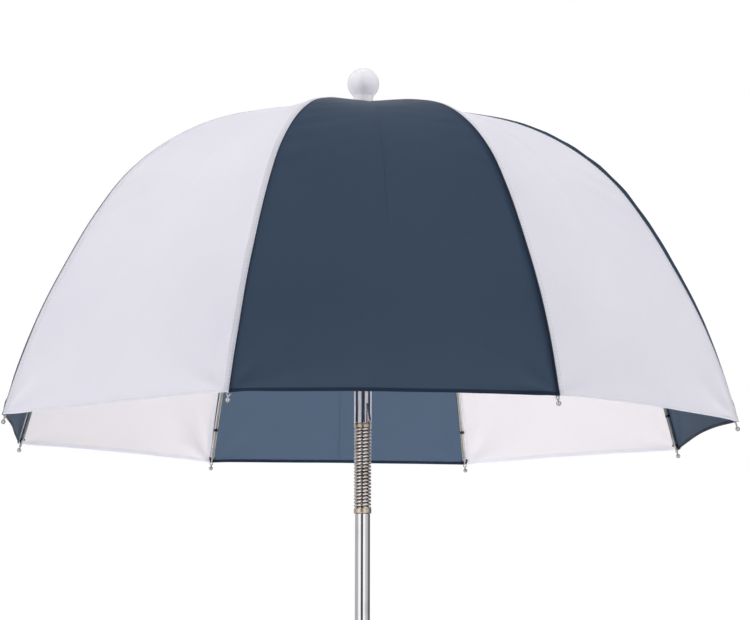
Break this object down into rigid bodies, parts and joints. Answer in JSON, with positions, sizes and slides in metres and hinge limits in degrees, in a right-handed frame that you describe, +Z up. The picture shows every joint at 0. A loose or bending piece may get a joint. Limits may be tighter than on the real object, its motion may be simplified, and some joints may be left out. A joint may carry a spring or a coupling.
{
  "type": "golf bag umbrella",
  "caption": "Small deep-dome umbrella with alternating dark and light panels on a straight metal pole, with a close-wound flex spring below the canopy.",
  "frame": {"origin": "centre of the flat base end of the pole", "axes": "+Z up the pole towards the finial; -Y faces the middle of the front navy panel"},
  "size_m": [0.5554, 0.5554, 1.15],
  "materials": {
    "navy_fabric": "woven polyester, matt with a faint sheen",
    "white_fabric": "woven polyester, matt with a faint sheen",
    "galvanised_steel": "bright galvanised",
    "chrome_tube": "polished",
    "spring_steel": "drawn wire, nickel plated",
    "brass_collar": "satin tan",
    "white_gloss_plastic": "gloss",
    "black_plastic": "satin moulded"
  },
  "bodies": {
    "lower_pole": {"base_plug": "black_plastic", "lower_tube": "chrome_tube", "lower_spigot": "galvanised_steel", "spring_collar_lower": "brass_collar", "flex_spring_lower": "spring_steel"},
    "spring_middle": {"flex_spring_middle": "spring_steel"},
    "upper_shaft": {"flex_spring_upper": "spring_steel", "spring_collar_upper": "brass_collar", "upper_spigot": "galvanised_steel", "upper_tube": "chrome_tube", "stop_pin": "galvanised_steel", "crown_notch": "black_plastic", "notch_wire": "galvanised_steel", "canopy_washer": "galvanised_steel", "finial": "white_gloss_plastic"},
    "bottom_catch": {"bottom_catch": "chrome_tube"},
    "top_catch": {"top_catch": "chrome_tube"},
    "runner": {"runner": "black_plastic"},
    "rib_1": {"rib_1": "galvanised_steel", "rib_tip_1": "galvanised_steel"},
    "stretcher_1": {"stretcher_1": "galvanised_steel"},
    "pleat_1_left": {"panel_half_1_left": "white_fabric"},
    "pleat_1_right": {"panel_half_1_right": "navy_fabric"},
    "rib_2": {"rib_2": "galvanised_steel", "rib_tip_2": "galvanised_steel"},
    "stretcher_2": {"stretcher_2": "galvanised_steel"},
    "pleat_2_left": {"panel_half_2_left": "navy_fabric"},
    "pleat_2_right": {"panel_half_2_right": "white_fabric"},
    "rib_3": {"rib_3": "galvanised_steel", "rib_tip_3": "galvanised_steel"},
    "stretcher_3": {"stretcher_3": "galvanised_steel"},
    "pleat_3_left": {"panel_half_3_left": "white_fabric"},
    "pleat_3_right": {"panel_half_3_right": "navy_fabric"},
    "rib_4": {"rib_4": "galvanised_steel", "rib_tip_4": "galvanised_steel"},
    "stretcher_4": {"stretcher_4": "galvanised_steel"},
    "pleat_4_left": {"panel_half_4_left": "navy_fabric"},
    "pleat_4_right": {"panel_half_4_right": "white_fabric"},
    "rib_5": {"rib_5": "galvanised_steel", "rib_tip_5": "galvanised_steel"},
    "stretcher_5": {"stretcher_5": "galvanised_steel"},
    "pleat_5_left": {"panel_half_5_left": "white_fabric"},
    "pleat_5_right": {"panel_half_5_right": "navy_fabric"},
    "rib_6": {"rib_6": "galvanised_steel", "rib_tip_6": "galvanised_steel"},
    "stretcher_6": {"stretcher_6": "galvanised_steel"},
    "pleat_6_left": {"panel_half_6_left": "navy_fabric"},
    "pleat_6_right": {"panel_half_6_right": "white_fabric"},
    "rib_7": {"rib_7": "galvanised_steel", "rib_tip_7": "galvanised_steel"},
    "stretcher_7": {"stretcher_7": "galvanised_steel"},
    "pleat_7_left": {"panel_half_7_left": "white_fabric"},
    "pleat_7_right": {"panel_half_7_right": "navy_fabric"},
    "rib_8": {"rib_8": "galvanised_steel", "rib_tip_8": "galvanised_steel"},
    "stretcher_8": {"stretcher_8": "galvanised_steel"},
    "pleat_8_left": {"panel_half_8_left": "navy_fabric"},
    "pleat_8_right": {"panel_half_8_right": "white_fabric"}
  },
  "joints": [
    {"name": "flex_side", "type": "hinge", "parent": "lower_pole", "child": "spring_middle", "pos_m": [0, 0, 0.818], "axis": [0, 1, 0], "range_deg": [-45, 45], "stiffness_Nm_per_rad": 6, "deforming": ["flex_spring_lower", "flex_spring_middle"]},
    {"name": "flex_forward", "type": "hinge", "parent": "spring_middle", "child": "upper_shaft", "pos_m": [0, 0, 0.834], "axis": [1, 0, 0], "range_deg": [-45, 45], "stiffness_Nm_per_rad": 6, "deforming": ["flex_spring_upper"]},
    {"name": "bottom_catch_press", "type": "hinge", "parent": "upper_shaft", "child": "bottom_catch", "pos_m": [0.00292, -0.00466, 0.8765], "axis": [0.848, 0.5299, 0], "range_deg": [0, 14], "stiffness_Nm_per_rad": 0.1},
    {"name": "top_catch_press", "type": "hinge", "parent": "upper_shaft", "child": "top_catch", "pos_m": [0.00292, -0.00466, 0.94677], "axis": [-0.848, -0.5299, 0], "range_deg": [0, 14], "stiffness_Nm_per_rad": 0.1},
    {"name": "runner_slide", "type": "slide", "parent": "upper_shaft", "child": "runner", "axis": [0, 0, -1], "range_m": [0, 0.10447], "deforming": ["panel_half_1_left", "panel_half_1_right", "panel_half_2_left", "panel_half_2_right", "panel_half_3_left", "panel_half_3_right", "panel_half_4_left", "panel_half_4_right", "panel_half_5_left", "panel_half_5_right", "panel_half_6_left", "panel_half_6_right", "panel_half_7_left", "panel_half_7_right", "panel_half_8_left", "panel_half_8_right", "bottom_catch", "top_catch"]},
    {"name": "rib_hinge_1", "type": "hinge", "parent": "upper_shaft", "child": "rib_1", "pos_m": [0.00421, -0.01016, 1.112], "axis": [0.9239, 0.3827, 0], "range_deg": [0, 46.1]},
    {"name": "stretcher_hinge_1", "type": "hinge", "parent": "rib_1", "child": "stretcher_1", "pos_m": [0.04418, -0.10666, 1.09071], "axis": [0.9239, 0.3827, 0], "range_deg": [-71.4, 0]},
    {"name": "pleat_fold_1_left", "type": "hinge", "parent": "rib_1", "child": "pleat_1_left", "pos_m": [0.00842, -0.00842, 1.112], "axis": [-0.6583, 0.6583, -0.3651], "range_deg": [0, 17.3]},
    {"name": "pleat_fold_1_right", "type": "hinge", "parent": "rib_1", "child": "pleat_1_right", "pos_m": [0, -0.01191, 1.112], "axis": [0, -0.931, 0.3651], "range_deg": [0, 17.3]},
    {"name": "rib_hinge_2", "type": "hinge", "parent": "upper_shaft", "child": "rib_2", "pos_m": [0.01016, -0.00421, 1.112], "axis": [0.3827, 0.9239, 0], "range_deg": [0, 46.1]},
    {"name": "stretcher_hinge_2", "type": "hinge", "parent": "rib_2", "child": "stretcher_2", "pos_m": [0.10666, -0.04418, 1.09071], "axis": [0.3827, 0.9239, 0], "range_deg": [-71.4, 0]},
    {"name": "pleat_fold_2_left", "type": "hinge", "parent": "rib_2", "child": "pleat_2_left", "pos_m": [0.01191, 0, 1.112], "axis": [-0.931, 0, -0.3651], "range_deg": [0, 17.3]},
    {"name": "pleat_fold_2_right", "type": "hinge", "parent": "rib_2", "child": "pleat_2_right", "pos_m": [0.00842, -0.00842, 1.112], "axis": [0.6583, -0.6583, 0.3651], "range_deg": [0, 17.3]},
    {"name": "rib_hinge_3", "type": "hinge", "parent": "upper_shaft", "child": "rib_3", "pos_m": [0.01016, 0.00421, 1.112], "axis": [-0.3827, 0.9239, 0], "range_deg": [0, 46.1]},
    {"name": "stretcher_hinge_3", "type": "hinge", "parent": "rib_3", "child": "stretcher_3", "pos_m": [0.10666, 0.04418, 1.09071], "axis": [-0.3827, 0.9239, 0], "range_deg": [-71.4, 0]},
    {"name": "pleat_fold_3_left", "type": "hinge", "parent": "rib_3", "child": "pleat_3_left", "pos_m": [0.00842, 0.00842, 1.112], "axis": [-0.6583, -0.6583, -0.3651], "range_deg": [0, 17.3]},
    {"name": "pleat_fold_3_right", "type": "hinge", "parent": "rib_3", "child": "pleat_3_right", "pos_m": [0.01191, 0, 1.112], "axis": [0.931, 0, 0.3651], "range_deg": [0, 17.3]},
    {"name": "rib_hinge_4", "type": "hinge", "parent": "upper_shaft", "child": "rib_4", "pos_m": [0.00421, 0.01016, 1.112], "axis": [-0.9239, 0.3827, 0], "range_deg": [0, 46.1]},
    {"name": "stretcher_hinge_4", "type": "hinge", "parent": "rib_4", "child": "stretcher_4", "pos_m": [0.04418, 0.10666, 1.09071], "axis": [-0.9239, 0.3827, 0], "range_deg": [-71.4, 0]},
    {"name": "pleat_fold_4_left", "type": "hinge", "parent": "rib_4", "child": "pleat_4_left", "pos_m": [0, 0.01191, 1.112], "axis": [0, -0.931, -0.3651], "range_deg": [0, 17.3]},
    {"name": "pleat_fold_4_right", "type": "hinge", "parent": "rib_4", "child": "pleat_4_right", "pos_m": [0.00842, 0.00842, 1.112], "axis": [0.6583, 0.6583, 0.3651], "range_deg": [0, 17.3]},
    {"name": "rib_hinge_5", "type": "hinge", "parent": "upper_shaft", "child": "rib_5", "pos_m": [-0.00421, 0.01016, 1.112], "axis": [-0.9239, -0.3827, 0], "range_deg": [0, 46.1]},
    {"name": "stretcher_hinge_5", "type": "hinge", "parent": "rib_5", "child": "stretcher_5", "pos_m": [-0.04418, 0.10666, 1.09071], "axis": [-0.9239, -0.3827, 0], "range_deg": [-71.4, 0]},
    {"name": "pleat_fold_5_left", "type": "hinge", "parent": "rib_5", "child": "pleat_5_left", "pos_m": [-0.00842, 0.00842, 1.112], "axis": [0.6583, -0.6583, -0.3651], "range_deg": [0, 17.3]},
    {"name": "pleat_fold_5_right", "type": "hinge", "parent": "rib_5", "child": "pleat_5_right", "pos_m": [0, 0.01191, 1.112], "axis": [0, 0.931, 0.3651], "range_deg": [0, 17.3]},
    {"name": "rib_hinge_6", "type": "hinge", "parent": "upper_shaft", "child": "rib_6", "pos_m": [-0.01016, 0.00421, 1.112], "axis": [-0.3827, -0.9239, 0], "range_deg": [0, 46.1]},
    {"name": "stretcher_hinge_6", "type": "hinge", "parent": "rib_6", "child": "stretcher_6", "pos_m": [-0.10666, 0.04418, 1.09071], "axis": [-0.3827, -0.9239, 0], "range_deg": [-71.4, 0]},
    {"name": "pleat_fold_6_left", "type": "hinge", "parent": "rib_6", "child": "pleat_6_left", "pos_m": [-0.01191, 0, 1.112], "axis": [0.931, 0, -0.3651], "range_deg": [0, 17.3]},
    {"name": "pleat_fold_6_right", "type": "hinge", "parent": "rib_6", "child": "pleat_6_right", "pos_m": [-0.00842, 0.00842, 1.112], "axis": [-0.6583, 0.6583, 0.3651], "range_deg": [0, 17.3]},
    {"name": "rib_hinge_7", "type": "hinge", "parent": "upper_shaft", "child": "rib_7", "pos_m": [-0.01016, -0.00421, 1.112], "axis": [0.3827, -0.9239, 0], "range_deg": [0, 46.1]},
    {"name": "stretcher_hinge_7", "type": "hinge", "parent": "rib_7", "child": "stretcher_7", "pos_m": [-0.10666, -0.04418, 1.09071], "axis": [0.3827, -0.9239, 0], "range_deg": [-71.4, 0]},
    {"name": "pleat_fold_7_left", "type": "hinge", "parent": "rib_7", "child": "pleat_7_left", "pos_m": [-0.00842, -0.00842, 1.112], "axis": [0.6583, 0.6583, -0.3651], "range_deg": [0, 17.3]},
    {"name": "pleat_fold_7_right", "type": "hinge", "parent": "rib_7", "child": "pleat_7_right", "pos_m": [-0.01191, 0, 1.112], "axis": [-0.931, 0, 0.3651], "range_deg": [0, 17.3]},
    {"name": "rib_hinge_8", "type": "hinge", "parent": "upper_shaft", "child": "rib_8", "pos_m": [-0.00421, -0.01016, 1.112], "axis": [0.9239, -0.3827, 0], "range_deg": [0, 46.1]},
    {"name": "stretcher_hinge_8", "type": "hinge", "parent": "rib_8", "child": "stretcher_8", "pos_m": [-0.04418, -0.10666, 1.09071], "axis": [0.9239, -0.3827, 0], "range_deg": [-71.4, 0]},
    {"name": "pleat_fold_8_left", "type": "hinge", "parent": "rib_8", "child": "pleat_8_left", "pos_m": [0, -0.01191, 1.112], "axis": [0, 0.931, -0.3651], "range_deg": [0, 17.3]},
    {"name": "pleat_fold_8_right", "type": "hinge", "parent": "rib_8", "child": "pleat_8_right", "pos_m": [-0.00842, -0.00842, 1.112], "axis": [-0.6583, -0.6583, 0.3651], "range_deg": [0, 17.3]}
  ],
  "couplings": [
    {"joint": "rib_hinge_1", "follows": "runner_slide", "rad_per_m": 7.685},
    {"joint": "stretcher_hinge_1", "follows": "runner_slide", "rad_per_m": -11.912},
    {"joint": "pleat_fold_1_left", "follows": "runner_slide", "rad_per_m": 2.8733},
    {"joint": "pleat_fold_1_right", "follows": "runner_slide", "rad_per_m": 2.8733},
    {"joint": "rib_hinge_2", "follows": "runner_slide", "rad_per_m": 7.685},
    {"joint": "stretcher_hinge_2", "follows": "runner_slide", "rad_per_m": -11.912},
    {"joint": "pleat_fold_2_left", "follows": "runner_slide", "rad_per_m": 2.8733},
    {"joint": "pleat_fold_2_right", "follows": "runner_slide", "rad_per_m": 2.8733},
    {"joint": "rib_hinge_3", "follows": "runner_slide", "rad_per_m": 7.685},
    {"joint": "stretcher_hinge_3", "follows": "runner_slide", "rad_per_m": -11.912},
    {"joint": "pleat_fold_3_left", "follows": "runner_slide", "rad_per_m": 2.8733},
    {"joint": "pleat_fold_3_right", "follows": "runner_slide", "rad_per_m": 2.8733},
    {"joint": "rib_hinge_4", "follows": "runner_slide", "rad_per_m": 7.685},
    {"joint": "stretcher_hinge_4", "follows": "runner_slide", "rad_per_m": -11.912},
    {"joint": "pleat_fold_4_left", "follows": "runner_slide", "rad_per_m": 2.8733},
    {"joint": "pleat_fold_4_right", "follows": "runner_slide", "rad_per_m": 2.8733},
    {"joint": "rib_hinge_5", "follows": "runner_slide", "rad_per_m": 7.685},
    {"joint": "stretcher_hinge_5", "follows": "runner_slide", "rad_per_m": -11.912},
    {"joint": "pleat_fold_5_left", "follows": "runner_slide", "rad_per_m": 2.8733},
    {"joint": "pleat_fold_5_right", "follows": "runner_slide", "rad_per_m": 2.8733},
    {"joint": "rib_hinge_6", "follows": "runner_slide", "rad_per_m": 7.685},
    {"joint": "stretcher_hinge_6", "follows": "runner_slide", "rad_per_m": -11.912},
    {"joint": "pleat_fold_6_left", "follows": "runner_slide", "rad_per_m": 2.8733},
    {"joint": "pleat_fold_6_right", "follows": "runner_slide", "rad_per_m": 2.8733},
    {"joint": "rib_hinge_7", "follows": "runner_slide", "rad_per_m": 7.685},
    {"joint": "stretcher_hinge_7", "follows": "runner_slide", "rad_per_m": -11.912},
    {"joint": "pleat_fold_7_left", "follows": "runner_slide", "rad_per_m": 2.8733},
    {"joint": "pleat_fold_7_right", "follows": "runner_slide", "rad_per_m": 2.8733},
    {"joint": "rib_hinge_8", "follows": "runner_slide", "rad_per_m": 7.685},
    {"joint": "stretcher_hinge_8", "follows": "runner_slide", "rad_per_m": -11.912},
    {"joint": "pleat_fold_8_left", "follows": "runner_slide", "rad_per_m": 2.8733},
    {"joint": "pleat_fold_8_right", "follows": "runner_slide", "rad_per_m": 2.8733}
  ]
}
